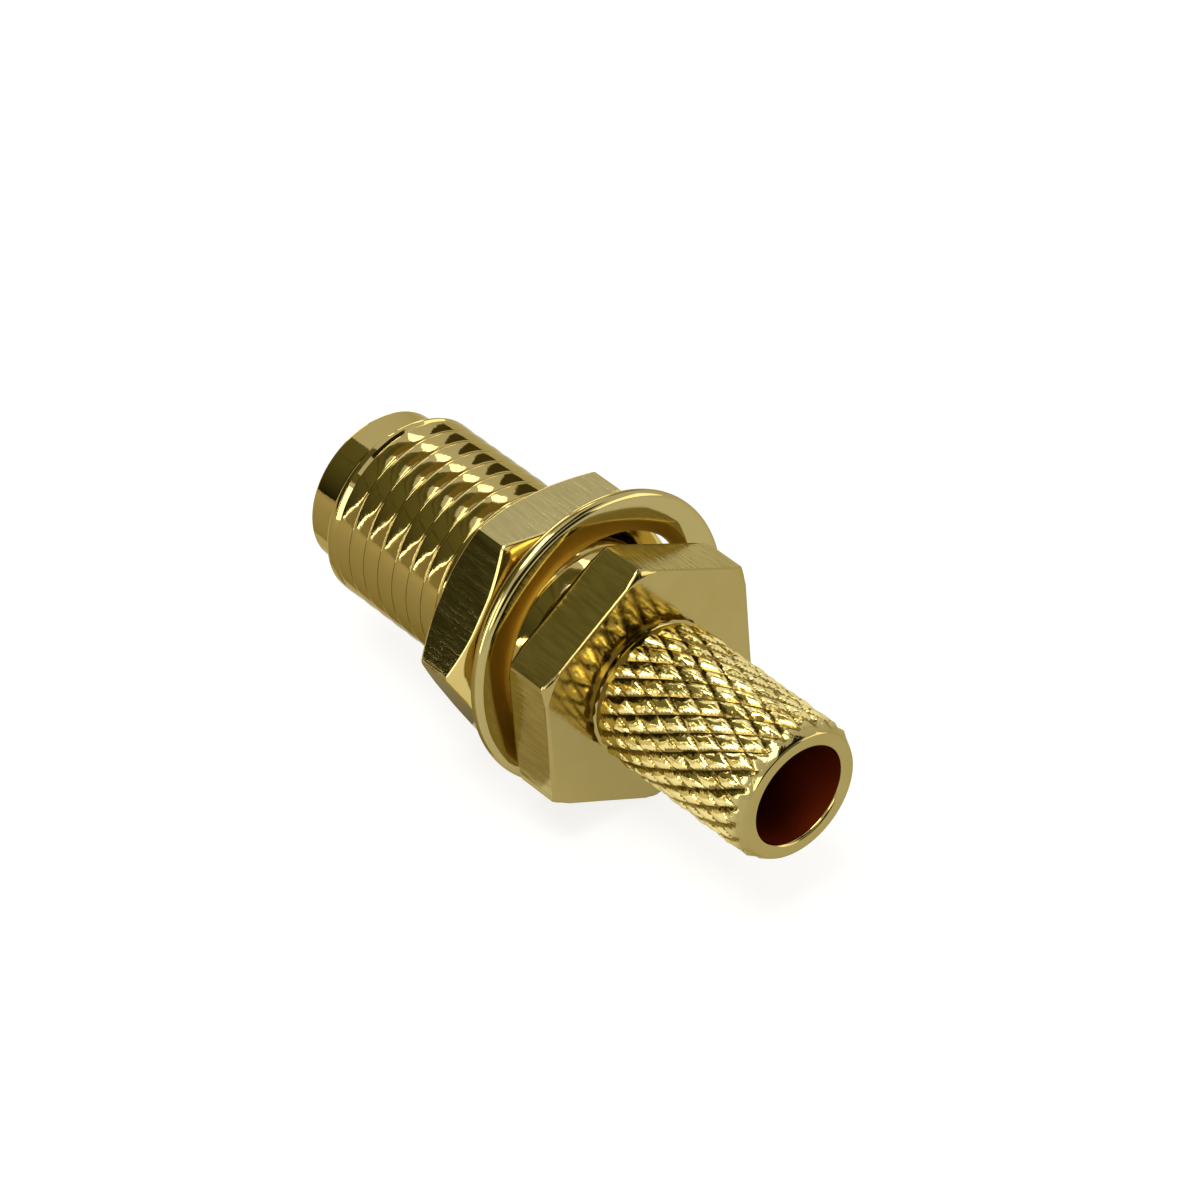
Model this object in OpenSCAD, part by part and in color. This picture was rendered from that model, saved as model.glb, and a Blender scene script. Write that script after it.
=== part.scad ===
// Bulkhead coaxial jack with a crimp tail.
// The axis is X: the cable end points to +X and the mating end to -X, and +Z is up as the jack lies.
// The origin is on the axis, at the face of the flange that seats on the panel.

/* [Barrel] */
// Outside diameter of the threaded barrel
thread_d = 6.35; // [5.8:0.05:7]
// Length from the flange to the end of the thread
barrel_len = 10.55; // [8:0.05:16]
// Length of the smooth nose in front of the thread
nose_len = 1; // [0.6:0.05:2]
// Wall of the nose around the mating counterbore
nose_wall = 0.4; // [0.25:0.05:0.45]
// Length of the cone that leads from the nose up to the thread
thread_lead = 0.45; // [0.2:0.05:1]
// Pitch of the thread's grooves
thread_pitch = 0.7056; // [0.5:0.0001:1]
// Width of a groove where it opens between two crests
groove_w = 0.2; // [0.1:0.01:0.4]
// Depth of a groove
groove_depth = 0.16; // [0.05:0.01:0.3]
// Plain length between the thread and the flange
thread_runout = 0.25; // [0.1:0.05:1]

/* [Flange] */
// Width of the flange across its flats
flange_af = 8; // [7.5:0.1:11]
// Thickness of the flange
flange_t = 1.8; // [1:0.1:4]
// Axial depth of the chamfer on the flange's corners
flange_chamfer = 0.15; // [0.05:0.01:0.4]
// Angle from straight down to the flange's lowest corner
flange_angle = 5.3; // [0:0.1:30]

/* [Crimp tail] */
// Diameter of the crimp tail
tail_d = 4.84; // [4.4:0.02:6]
// Length of the crimp tail behind the flange
tail_len = 6.81; // [4:0.01:12]
// Length of the undercut neck between the flange and the tail
neck_len = 0.35; // [0.15:0.05:1]
// Depth of the undercut neck
neck_depth = 0.2; // [0.05:0.01:0.3]
// Length of the taper at the end of the tail
tail_taper_len = 0.46; // [0.2:0.01:1]
// Depth of the taper at the end of the tail
tail_taper_depth = 0.3; // [0.1:0.01:0.4]

/* [Bores] */
// Diameter of the bore that takes the cable's dielectric
cable_bore_d = 3.36; // [2.4:0.02:3.6]
// Diameter of the counterbore in the mating end
counterbore_d = 4.6; // [4.4:0.02:5]
// Depth of the counterbore, down to the mating reference face
counterbore_depth = 1.93; // [1.5:0.01:3]
// Chamfer on the edges of the bores and of the nose
edge_chamfer = 0.1; // [0.04:0.01:0.15]

/* [Insulator] */
// Diameter of the insulator
insulator_d = 4.11; // [4:0.01:4.3]
// Length of the insulator
insulator_len = 5.62; // [4:0.02:7]
// Width of the step in the barrel that the insulator seats on
insulator_seat = 0.16; // [0.1:0.01:0.25]
// Radial clearance between a pressed-in piece and its hole
press_clearance = 0.01; // [0.005:0.005:0.03]

/* [Centre contact] */
// Diameter of the contact's socket
contact_d = 1.27; // [1.2:0.01:1.4]
// Diameter of the hole in the socket
socket_bore_d = 0.94; // [0.88:0.01:1]
// Depth of the hole in the socket
socket_depth = 3; // [2:0.1:3.5]
// Width of the slots that make the socket springy
slot_w = 0.12; // [0.06:0.01:0.15]
// Length of the slots
slot_len = 2.5; // [1.5:0.1:2.9]
// Diameter of the collar behind the insulator
collar_d = 2; // [1.8:0.05:2.2]
// Thickness of the collar
collar_t = 0.5; // [0.3:0.05:1]
// Outside diameter of the crimp cup for the conductor
cup_d = 1.6; // [1.4:0.05:1.75]
// Length of the crimp cup
cup_len = 2.6; // [2:0.1:3]
// Diameter of the hole in the crimp cup
cup_bore_d = 1; // [0.8:0.02:1.1]
// Diameter of the inspection hole in the side of the crimp cup
inspection_d = 0.4; // [0.2:0.05:0.6]
// Room between the crimp cup and the start of the cable bore
cup_room = 0.2; // [0.1:0.05:0.6]

/* [Nut] */
// Width of the nut across its flats
nut_af = 8; // [7.6:0.1:11]
// Thickness of the nut
nut_t = 2; // [1.5:0.05:3]
// Axial depth of the chamfers on the nut's corners
nut_chamfer = 0.4; // [0.1:0.02:0.5]
// Radial clearance between the barrel and the nut's hole
nut_clearance = 0.03; // [0.02:0.01:0.09]
// Chamfer at both ends of the nut's hole
nut_bore_chamfer = 0.25; // [0.1:0.05:0.35]
// Angle from straight down to the nut's lowest corner
nut_angle = 30; // [0:1:30]
// Gap along the barrel between the washer and the nut
nut_gap = 0.77; // [0.1:0.01:3]

/* [Washer] */
// Outside diameter of the washer
washer_d = 9.88; // [9:0.02:12]
// Diameter of the washer's hole
washer_hole_d = 7.3; // [6.8:0.02:7.8]
// Thickness of the washer, which its rim rounds off
washer_t = 0.5; // [0.3:0.02:1]
// Lean of the loose washer, its top towards the nut
washer_lean = 3.8; // [0:0.1:5]
// Gap between the flange and the nearest point of the washer's rim
washer_gap = 0.14; // [0.1:0.01:0.6]
// Clearance under the barrel where the washer hangs on it
washer_clearance = 0.045; // [0.03:0.005:0.1]

/* [Hidden] */
$fn = 96;

gold = "#b59f57";
pale_gold = "#c2ad66";
ptfe_white = "#f1efe8";

// Angle between a hexagon's face and its corner chamfer
hex_chamfer_angle = 30;
// Steps in each quarter of a rounded rim
rim_steps = 6;
// Length by which a cut runs past the face it opens
cut_past = 0.5;

// Places along the axis
front_x = -(barrel_len + nose_len);
reference_x = front_x + counterbore_depth;
insulator_seat_x = reference_x + insulator_len;
cup_end_x = insulator_seat_x + collar_t + cup_len;
cable_bore_x = cup_end_x + cup_room;
tail_end_x = flange_t + tail_len;

// The thread, one groove a pitch as far as there is room
thread_x = thread_lead - barrel_len;
groove_count = floor((-thread_runout - thread_x) / thread_pitch);

// Diameters of the body
nose_d = counterbore_d + 2 * nose_wall;
insulator_bore_d = insulator_d + 2 * press_clearance;
chamber_d = insulator_bore_d - 2 * insulator_seat;

// The washer's middle: its rim stays washer_gap off the flange, and its hole hangs on the barrel
washer_reach = washer_t / 2 + (washer_d - washer_t) / 2 * sin(washer_lean);
washer_x = -(washer_gap + washer_reach);
washer_lift = (washer_hole_d - thread_d) / 2 - washer_clearance;
nut_x = washer_x - washer_reach - nut_gap;

// Turns the drawing axis Z into the jack's axis X
module along_axis() {
    rotate([0, 90, 0]) children();
}

// Cylinder from one place on the axis to another
module bore(d, from_x, to_x) {
    translate([0, 0, from_x]) cylinder(d = d, h = to_x - from_x);
}

// Cone that breaks the edge of a bore of diameter d at mouth_x; side is 1 where the mouth faces +X
module bore_edge(d, mouth_x, side, size) {
    reach = size + cut_past;
    translate([0, 0, mouth_x - side * size])
        mirror([0, 0, side > 0 ? 0 : 1])
            cylinder(d1 = d, d2 = d + 2 * reach, h = reach);
}

// Hexagonal prism from z = 0 to t, with the corners chamfered on both faces
module chamfered_hexagon(af, t, chamfer) {
    corner_r = af / sqrt(3);
    face_r = corner_r - chamfer / tan(hex_chamfer_angle);
    intersection() {
        cylinder(r = corner_r, h = t, $fn = 6);
        rotate_extrude()
            polygon([
                [0, 0],
                [face_r, 0],
                [corner_r, chamfer],
                [corner_r, t - chamfer],
                [face_r, t],
                [0, t],
            ]);
    }
}

// The turned outside of the body, from the nose to the end of the tail
module turned_outside() {
    thread_r = thread_d / 2;
    nose_r = nose_d / 2;
    tail_r = tail_d / 2;
    grooves = [
        for (i = [0 : groove_count - 1])
            let (middle = thread_x + (i + 1 / 2) * thread_pitch)
                each [
                    [thread_r, middle - groove_w / 2],
                    [thread_r - groove_depth, middle],
                    [thread_r, middle + groove_w / 2],
                ]
    ];
    nose = [
        [0, front_x],
        [nose_r - edge_chamfer, front_x],
        [nose_r, front_x + edge_chamfer],
        [nose_r, -barrel_len],
        [thread_r, thread_x],
    ];
    tail = [
        [thread_r, flange_t / 2],
        [tail_r - neck_depth, flange_t / 2],
        [tail_r - neck_depth, flange_t + neck_len],
        [tail_r, flange_t + neck_len + neck_depth],
        [tail_r, tail_end_x - tail_taper_len],
        [tail_r - tail_taper_depth, tail_end_x],
        [0, tail_end_x],
    ];
    rotate_extrude() polygon(concat(nose, grooves, tail));
}

// The stepped bore right through the body
module stepped_bore() {
    bore(counterbore_d, front_x - cut_past, reference_x);
    bore(insulator_bore_d, reference_x - cut_past, insulator_seat_x);
    bore(chamber_d, insulator_seat_x - cut_past, cable_bore_x);
    bore(cable_bore_d, cable_bore_x - cut_past, tail_end_x + cut_past);
    bore_edge(counterbore_d, front_x, -1, edge_chamfer);
    bore_edge(cable_bore_d, tail_end_x, 1, edge_chamfer);
}

module connector_body() {
    color(gold)
        along_axis()
            difference() {
                union() {
                    turned_outside();
                    rotate([0, 0, flange_angle])
                        chamfered_hexagon(flange_af, flange_t, flange_chamfer);
                }
                stepped_bore();
            }
}

module insulator() {
    color(ptfe_white)
        along_axis()
            difference() {
                bore(insulator_d, reference_x, insulator_seat_x);
                bore(contact_d + 2 * press_clearance, reference_x - cut_past, insulator_seat_x + cut_past);
            }
}

// Two crossed cuts that part the front of the socket into four fingers
module socket_slots() {
    for (turn = [0, 90])
        rotate([0, 0, turn])
            translate([-contact_d, -slot_w / 2, reference_x - cut_past])
                cube([2 * contact_d, slot_w, slot_len + cut_past]);
}

module centre_contact() {
    inspection_x = cup_end_x - cup_len / 2;
    color(pale_gold)
        along_axis()
            difference() {
                union() {
                    bore(contact_d, reference_x, insulator_seat_x + collar_t);
                    bore(collar_d, insulator_seat_x, insulator_seat_x + collar_t);
                    bore(cup_d, insulator_seat_x + collar_t / 2, cup_end_x);
                }
                bore(socket_bore_d, reference_x - cut_past, reference_x + socket_depth);
                bore_edge(socket_bore_d, reference_x, -1, edge_chamfer);
                socket_slots();
                bore(cup_bore_d, insulator_seat_x + collar_t, cup_end_x + cut_past);
                bore_edge(cup_bore_d, cup_end_x, 1, edge_chamfer);
                translate([0, 0, inspection_x])
                    rotate([0, -90, 0])
                        cylinder(d = inspection_d, h = cup_d);
            }
}

// Flat ring with a fully rounded outer rim, drawn across its own middle plane
module rolled_ring() {
    half_t = washer_t / 2;
    hole_r = washer_hole_d / 2;
    rim_r = washer_d / 2 - half_t;
    rim = [
        for (step = [-rim_steps : rim_steps])
            let (a = 90 * step / rim_steps)
                [rim_r + half_t * cos(a), half_t * sin(a)]
    ];
    rotate_extrude()
        polygon(concat([[hole_r, half_t], [hole_r, -half_t]], rim));
}

module washer() {
    color(pale_gold)
        translate([washer_x, 0, washer_lift])
            rotate([0, -washer_lean, 0])
                along_axis()
                    rolled_ring();
}

module panel_nut() {
    nut_bore_d = thread_d + 2 * nut_clearance;
    color(gold)
        translate([nut_x - nut_t, 0, 0])
            along_axis()
                rotate([0, 0, nut_angle])
                    difference() {
                        chamfered_hexagon(nut_af, nut_t, nut_chamfer);
                        bore(nut_bore_d, -cut_past, nut_t + cut_past);
                        bore_edge(nut_bore_d, 0, -1, nut_bore_chamfer);
                        bore_edge(nut_bore_d, nut_t, 1, nut_bore_chamfer);
                    }
}

connector_body();
insulator();
centre_contact();
washer();
panel_nut();
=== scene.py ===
# %% [markdown]
# Dressing a coaxial crimp jack.
#
# The part is a small bulkhead jack: a turned brass body plated in pale gold, with a threaded barrel,
# a hexagonal flange and a knurled crimp tail, and a loose washer and a panel nut on its thread.
# The solids hold the sizes and the motion. This notebook gives every surface its real form and finish:
# the thread and the knurl are cut as meshes here, because solids that fine would be slow to work with.
# We begin by loading the solids as a fixed frame, and we keep their box.

# %% Load the frame
import math

import bpy
import numpy as np
from mathutils import Matrix, Vector


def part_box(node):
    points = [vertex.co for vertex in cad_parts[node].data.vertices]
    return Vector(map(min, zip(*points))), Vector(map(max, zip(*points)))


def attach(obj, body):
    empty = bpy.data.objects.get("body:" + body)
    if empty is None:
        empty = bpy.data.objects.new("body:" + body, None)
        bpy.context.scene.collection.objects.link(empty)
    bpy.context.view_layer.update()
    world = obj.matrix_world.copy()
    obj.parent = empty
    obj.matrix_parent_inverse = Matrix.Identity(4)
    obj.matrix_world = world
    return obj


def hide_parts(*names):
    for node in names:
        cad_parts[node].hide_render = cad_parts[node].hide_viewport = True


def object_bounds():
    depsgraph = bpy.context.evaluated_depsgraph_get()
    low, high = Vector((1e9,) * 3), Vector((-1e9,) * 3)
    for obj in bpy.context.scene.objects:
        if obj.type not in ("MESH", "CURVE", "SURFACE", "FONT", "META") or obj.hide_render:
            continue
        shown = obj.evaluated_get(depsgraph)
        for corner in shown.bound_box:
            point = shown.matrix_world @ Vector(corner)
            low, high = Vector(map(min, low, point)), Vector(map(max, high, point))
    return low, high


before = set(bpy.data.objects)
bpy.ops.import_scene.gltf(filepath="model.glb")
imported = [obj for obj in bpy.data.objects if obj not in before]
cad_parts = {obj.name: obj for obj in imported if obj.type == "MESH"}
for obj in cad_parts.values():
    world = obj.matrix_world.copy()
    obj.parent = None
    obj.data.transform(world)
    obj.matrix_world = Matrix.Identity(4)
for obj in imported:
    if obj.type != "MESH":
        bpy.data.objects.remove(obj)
cad_low, cad_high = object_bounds()
MM = 0.001
body_low, body_high = (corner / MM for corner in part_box("connector_body"))
nut_low, nut_high = (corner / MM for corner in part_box("panel_nut"))
washer_low, washer_high = (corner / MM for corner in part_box("washer"))

# %% [markdown]
# The camera comes first, because every later choice is judged through it. It could be placed by
# eye, but a long lens far away hides small errors of angle, so the values below were worked out from the
# corners of the hexagons and from round edges: an azimuth and an elevation, the point it aims at, the
# distance and the lens.

# %% Camera
CAMERA_AZIMUTH = math.radians(49.53)
CAMERA_ELEVATION = math.radians(37.65)
CAMERA_ROLL = math.radians(0.405)
CAMERA_DISTANCE = 173.0
CAMERA_AIM = Vector((-1.08, 0.40, 1.43))
CAMERA_LENS = 169.7
CAMERA_SENSOR = 36.0
CAMERA_NEAR = 10.0


def aim_camera():
    backward = Vector((
        math.sin(CAMERA_AZIMUTH) * math.cos(CAMERA_ELEVATION),
        -math.cos(CAMERA_AZIMUTH) * math.cos(CAMERA_ELEVATION),
        math.sin(CAMERA_ELEVATION),
    ))
    level = Vector((math.cos(CAMERA_AZIMUTH), math.sin(CAMERA_AZIMUTH), 0))
    upward = backward.cross(level)
    right = level * math.cos(CAMERA_ROLL) + upward * math.sin(CAMERA_ROLL)
    upward = backward.cross(right)
    camera = bpy.data.objects.new("camera", bpy.data.cameras.new("camera"))
    camera.data.lens = CAMERA_LENS
    camera.data.sensor_width = CAMERA_SENSOR
    camera.data.clip_start = CAMERA_NEAR * MM
    place = (CAMERA_AIM + backward * CAMERA_DISTANCE) * MM
    turn = Matrix((right, upward, backward)).transposed().to_4x4()
    camera.matrix_world = Matrix.Translation(place) @ turn
    bpy.context.scene.collection.objects.link(camera)
    bpy.context.scene.camera = camera
    return camera


camera = aim_camera()
print("camera at", [round(c / MM, 1) for c in camera.matrix_world.translation], "mm")

# %% [markdown]
# A polished metal shows its surroundings more than itself, so the studio is half of the look. The room and
# the floor are white, at a level where a colour renders about as it is written. More lamps could whiten
# the floor, but they would bleach the gold as well. So the floor glows a little where the camera or
# a mirror-like surface sees it, and it still keeps the part's soft shadow.

# %% Floor and white room
FLOOR_SIZE = 1600.0
FLOOR_TONE = 0.24
FLOOR_GLOW = 0.77
FLOOR_ROUGHNESS = 0.9

bpy.context.scene.view_settings.view_transform = "Standard"


def new_material(name):
    material = bpy.data.materials.new(name)
    material.use_nodes = True
    return material, material.node_tree.nodes, material.node_tree.links


def math_node(nodes, operation):
    node = nodes.new("ShaderNodeMath")
    node.operation = operation
    return node


def stage_sheet(name, points, faces, material):
    mesh = bpy.data.meshes.new(name)
    mesh.from_pydata([Vector(p) * MM for p in points], [], faces)
    mesh.materials.append(material)
    sheet = bpy.data.objects.new(name, mesh)
    bpy.context.scene.collection.objects.link(sheet)
    return sheet


def white_floor():
    material, nodes, links = new_material("floor_white")
    shader = nodes["Principled BSDF"]
    shader.inputs["Base Color"].default_value = (FLOOR_TONE, FLOOR_TONE, FLOOR_TONE, 1)
    shader.inputs["Emission Color"].default_value = (1, 1, 1, 1)
    shader.inputs["Roughness"].default_value = FLOOR_ROUGHNESS
    shader.inputs["Specular IOR Level"].default_value = 0.0
    path = nodes.new("ShaderNodeLightPath")
    mirrored = math_node(nodes, "MAXIMUM")
    seen = math_node(nodes, "MAXIMUM")
    glow = math_node(nodes, "MULTIPLY")
    glow.inputs[1].default_value = FLOOR_GLOW
    links.new(path.outputs["Is Glossy Ray"], mirrored.inputs[0])
    links.new(path.outputs["Is Transmission Ray"], mirrored.inputs[1])
    links.new(path.outputs["Is Camera Ray"], seen.inputs[0])
    links.new(mirrored.outputs[0], seen.inputs[1])
    links.new(seen.outputs[0], glow.inputs[0])
    links.new(glow.outputs[0], shader.inputs["Emission Strength"])
    half = FLOOR_SIZE / 2
    level = cad_low.z / MM
    corners = [(-half, -half, level), (half, -half, level), (half, half, level), (-half, half, level)]
    return stage_sheet("floor", corners, [(0, 1, 2, 3)], material)


def white_room():
    world = bpy.data.worlds.new("white_room")
    world.use_nodes = True
    background = world.node_tree.nodes["Background"]
    background.inputs["Color"].default_value = (1, 1, 1, 1)
    background.inputs["Strength"].default_value = 1.0
    bpy.context.scene.world = world


floor = white_floor()
white_room()
print(floor.name, "at", round(cad_low.z / MM, 2), "mm")

# %% [markdown]
# In a white room alone the gold would look flat. Photographers of shiny parts stand dark cards around
# them, just outside the picture. Here a card is a matt sheet that is hidden from the camera, so that it
# can stand anywhere and only the metal shows it. Some small helpers come first, because the materials
# of the sheets and of the metal are built from the same few nodes.

# %% Sheets that only the metal shows
CARD_STEPS = 40


def object_place(nodes):
    """The object's own coordinates."""
    return nodes.new("ShaderNodeTexCoord").outputs["Object"]


def split_axes(nodes, links, place):
    """The X, Y and Z of a place, each by itself."""
    split = nodes.new("ShaderNodeSeparateXYZ")
    links.new(place, split.inputs[0])
    return split.outputs


def colour_mix(nodes, first=None, second=None):
    """A node that mixes two colours by its factor."""
    mix = nodes.new("ShaderNodeMix")
    mix.data_type = "RGBA"
    if first:
        mix.inputs["A"].default_value = first
    if second:
        mix.inputs["B"].default_value = second
    return mix


def map_range(nodes, low, high, to=(0.0, 1.0)):
    """A node that spreads the values between low and high over another range."""
    spread = nodes.new("ShaderNodeMapRange")
    spread.inputs["From Min"].default_value = low
    spread.inputs["From Max"].default_value = high
    spread.inputs["To Min"].default_value = to[0]
    spread.inputs["To Max"].default_value = to[1]
    return spread


def grid_faces(rows, columns):
    """Quads between the points of a grid, with one point more than columns in each row."""
    row = columns + 1
    starts = [i * row + j for i in range(rows) for j in range(columns)]
    return [(i, i + 1, i + row + 1, i + row) for i in starts]


def hidden_sheet(name, points, faces, material):
    """A matt sheet that the metal reflects, but that the camera and the shadows leave out."""
    shader = material.node_tree.nodes["Principled BSDF"]
    shader.inputs["Roughness"].default_value = 1.0
    shader.inputs["Specular IOR Level"].default_value = 0.0
    sheet = stage_sheet(name, points, faces, material)
    sheet.visible_camera = False
    sheet.visible_shadow = False
    return sheet


print("a card has", len(grid_faces(CARD_STEPS, CARD_STEPS)), "faces")

# %% [markdown]
# The biggest card stands by the nose, and the flats that face it go dark olive. Smaller cards darken
# the far side of the barrel and the rim of the tail. Each card is given by the direction in which
# the gold sees it: an azimuth around the part, counted from +X towards +Y, and an elevation, both in
# degrees, so that the edge of a reflection can be moved by a few degrees at a time.

# %% Dark cards
STUDIO_RADIUS = 180.0
OLIVE_TINT = (1.0, 0.96, 0.42)
BROWN_TINT = (1.0, 0.82, 0.28)
WEDGE_TINT = (1.0, 0.86, 0.5)
UPPER_TINT = (1.0, 0.78, 0.25)
FRONT_LEFT = 186
FRONT_LEFT_LEANS_FROM = 47
FRONT_LEFT_LEAN = 2.0
FRONT_ARM = (51.5, 57)
FRONT_ARM_LEFT = 154
FRONT_RIGHT = 234
FRONT_RIGHT_LEAN = 0.25
WINDOW_TOP = 38
FRONT_RIGHT_ABOVE = 275


def direction(azimuth, elevation):
    a, e = math.radians(azimuth), math.radians(elevation)
    return Vector((math.cos(e) * math.cos(a), math.cos(e) * math.sin(a), math.sin(e)))


def card_material(name, elevations, tones):
    """One tone all over the card, or a change from the tone of its foot to that of its top."""
    material, nodes, links = new_material(name)
    base = nodes["Principled BSDF"].inputs["Base Color"]
    if len(tones) == 1:
        base.default_value = tones[0]
        return material
    foot, top = (STUDIO_RADIUS * MM * math.sin(math.radians(e)) for e in elevations)
    height = map_range(nodes, foot, top)
    shade = colour_mix(nodes, *tones)
    axes = split_axes(nodes, links, object_place(nodes))
    links.new(axes["Z"], height.inputs["Value"])
    links.new(height.outputs["Result"], shade.inputs["Factor"])
    links.new(shade.outputs["Result"], base)
    return material


def dark_card(name, elevations, left, right, greys, tint=OLIVE_TINT):
    """A curved card between two elevations; left and right give its edges at each height."""
    tones = [(*(grey * t for t in tint), 1) for grey in greys]
    material = card_material(name, elevations, tones)
    points = []
    for up in np.linspace(*elevations, CARD_STEPS + 1):
        for across in np.linspace(left(up), right(up), CARD_STEPS + 1):
            points.append(direction(across, up) * STUDIO_RADIUS)
    return hidden_sheet(name, points, grid_faces(CARD_STEPS, CARD_STEPS), material)


def upright(azimuth):
    """The edge of a card that stands straight up."""
    return lambda up: azimuth


def front_left(up):
    """The front card's left edge leans near the top, and a dark arm reaches to the left there."""
    if FRONT_ARM[0] < up < FRONT_ARM[1]:
        return FRONT_ARM_LEFT
    return FRONT_LEFT + max(0, up - FRONT_LEFT_LEANS_FROM) * FRONT_LEFT_LEAN


def front_right(up):
    """The front card's right edge leans, and above the window it runs on to the right."""
    return FRONT_RIGHT + FRONT_RIGHT_LEAN * up if up < WINDOW_TOP else FRONT_RIGHT_ABOVE


cards = [
    dark_card("front_card", (-1.4, 60.5), front_left, front_right, [0.03, 0.35]),
    dark_card("back_card", (7, 36), upright(121), upright(128.5), [0.14], BROWN_TINT),
    dark_card("wedge_card", (-1.4, 38), upright(236), upright(254), [0.62], WEDGE_TINT),
    dark_card("upper_card", (53, 72), upright(118), upright(186), [0.5], UPPER_TINT),
    dark_card("tail_card", (5, 37), upright(322), upright(392), [0.04]),
    dark_card("tail_top_card", (46, 68), upright(343), upright(425), [0.05]),
]
print("cards", [card.name for card in cards])

# %% [markdown]
# The underside of the barrel would mirror the white floor, but it should be khaki. A darker floor would
# spoil the background, so a grey sheet lies on the floor beside the barrel, seen only in the metal. It
# covers a part of a circle around the origin, and it grows paler further away.

# %% Grey sheet on the floor
SHEET_FROM = 195.0
SHEET_TO = 262.0
SHEET_REACH = (5.0, 170.0)
SHEET_FADE = 45.0
SHEET_LIFT = 0.05
SHEET_NEAR_GREY = (0.42, 0.385, 0.27, 1)
SHEET_FAR_GREY = (0.54, 0.49, 0.36, 1)


def grey_sheet():
    material, nodes, links = new_material("grey_sheet")
    near, far = SHEET_REACH
    reach = nodes.new("ShaderNodeVectorMath")
    reach.operation = "LENGTH"
    away = map_range(nodes, near * MM, SHEET_FADE * MM)
    shade = colour_mix(nodes, SHEET_NEAR_GREY, SHEET_FAR_GREY)
    links.new(object_place(nodes), reach.inputs[0])
    links.new(reach.outputs["Value"], away.inputs["Value"])
    links.new(away.outputs["Result"], shade.inputs["Factor"])
    links.new(shade.outputs["Result"], nodes["Principled BSDF"].inputs["Base Color"])
    level = cad_low.z / MM + SHEET_LIFT
    around = np.radians(np.linspace(SHEET_FROM, SHEET_TO, CARD_STEPS + 1))
    points = [(r * math.cos(a), r * math.sin(a), level) for r in (near, far) for a in around]
    sheet = hidden_sheet("grey_sheet", points, grid_faces(1, CARD_STEPS), material)
    sheet.visible_diffuse = False
    return sheet


sheet = grey_sheet()
print("grey sheet of", len(sheet.data.polygons), "faces")

# %% [markdown]
# Highlights come from lamps of a known size and brightness, placed by direction as the cards are.
# A narrow one along the front card's edge draws the thin bright lines on the thread, and the wide ones
# light the knurl, the rims and the flats. A lamp's energy is worked out from the radiance that a mirror
# would show.

# %% Lamps
LAMP_RADIUS = 170.0
LAMP_WARMTH = (1.0, 0.96, 0.84)


def soft_lamp(name, azimuth, elevation, width, height, radiance, lean=0.0):
    lamp = bpy.data.lights.new(name, "AREA")
    lamp.shape = "RECTANGLE"
    lamp.size = width * MM
    lamp.size_y = height * MM
    lamp.color = LAMP_WARMTH
    lamp.energy = radiance * math.pi * lamp.size * lamp.size_y
    outward = direction(azimuth, elevation)
    facing = outward.to_track_quat("Z", "Y").to_matrix().to_4x4()
    turn = facing @ Matrix.Rotation(math.radians(lean), 4, "Z")
    holder = bpy.data.objects.new(name, lamp)
    holder.matrix_world = Matrix.Translation(outward * LAMP_RADIUS * MM) @ turn
    holder.visible_camera = False
    bpy.context.scene.collection.objects.link(holder)
    return holder


lamps = [
    soft_lamp("strip_lamp", 238.9, 18, 3.4, 118, 8.0, lean=-14),
    soft_lamp("window_lamp", 264, 15, 54, 118, 4.2),
    soft_lamp("edge_lamp", 204, 66, 48, 14, 4.0),
    soft_lamp("top_lamp", 282, 72, 104, 84, 6.5),
    soft_lamp("back_lamp", 139, 47.5, 30, 26, 4.2),
    soft_lamp("low_lamp", 148, 9, 45, 36, 4.0),
    soft_lamp("knurl_lamp", 170, 24, 60, 44, 4.5),
    soft_lamp("rim_lamp", 304, 23, 44, 60, 4.0),
    soft_lamp("rear_lamp", 55, 20, 140, 60, 2.0),
]
print("lamps", [lamp.name for lamp in lamps])

# %% [markdown]
# All the metal is brass under a thin gold plate, but each cut of the machine leaves its own surface.
# Turned faces carry very fine rings around the axis, and milled flats carry straight lines along it.
# A picture of scratches could be laid on, but it would need unwrapping and would show where it repeats.
# So a noise texture is fed with coordinates that draw it out into rings or into lines. They are
# the object's own coordinates, so the lines stay on the nut when it is turned.

# %% Lines that the tools leave
LINE_GRAIN = 9000.0
LINE_DETAIL = 3.0
MILLED_STRETCH = 0.11


def noise(nodes, links, vector, scale, detail):
    texture = nodes.new("ShaderNodeTexNoise")
    texture.inputs["Scale"].default_value = scale
    texture.inputs["Detail"].default_value = detail
    links.new(vector, texture.inputs["Vector"])
    return texture.outputs["Fac"]


def ring_vector(nodes, links, axes):
    """Coordinates that change along the axis and with the distance from it: rings around the axis."""
    flat = nodes.new("ShaderNodeCombineXYZ")
    radius = nodes.new("ShaderNodeVectorMath")
    radius.operation = "LENGTH"
    across = nodes.new("ShaderNodeCombineXYZ")
    links.new(axes["Y"], flat.inputs["Y"])
    links.new(axes["Z"], flat.inputs["Z"])
    links.new(flat.outputs[0], radius.inputs[0])
    links.new(axes["X"], across.inputs["X"])
    links.new(radius.outputs["Value"], across.inputs["Y"])
    return across.outputs[0]


def line_vector(nodes, links, axes):
    """Coordinates that change more slowly along the axis: lines along it."""
    slow = math_node(nodes, "MULTIPLY")
    slow.inputs[1].default_value = MILLED_STRETCH
    across = nodes.new("ShaderNodeCombineXYZ")
    links.new(axes["X"], slow.inputs[0])
    links.new(slow.outputs[0], across.inputs["X"])
    links.new(axes["Y"], across.inputs["Y"])
    links.new(axes["Z"], across.inputs["Z"])
    return across.outputs[0]


print("the lines are about", round(1 / (LINE_GRAIN * MM), 2), "mm apart")

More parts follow.
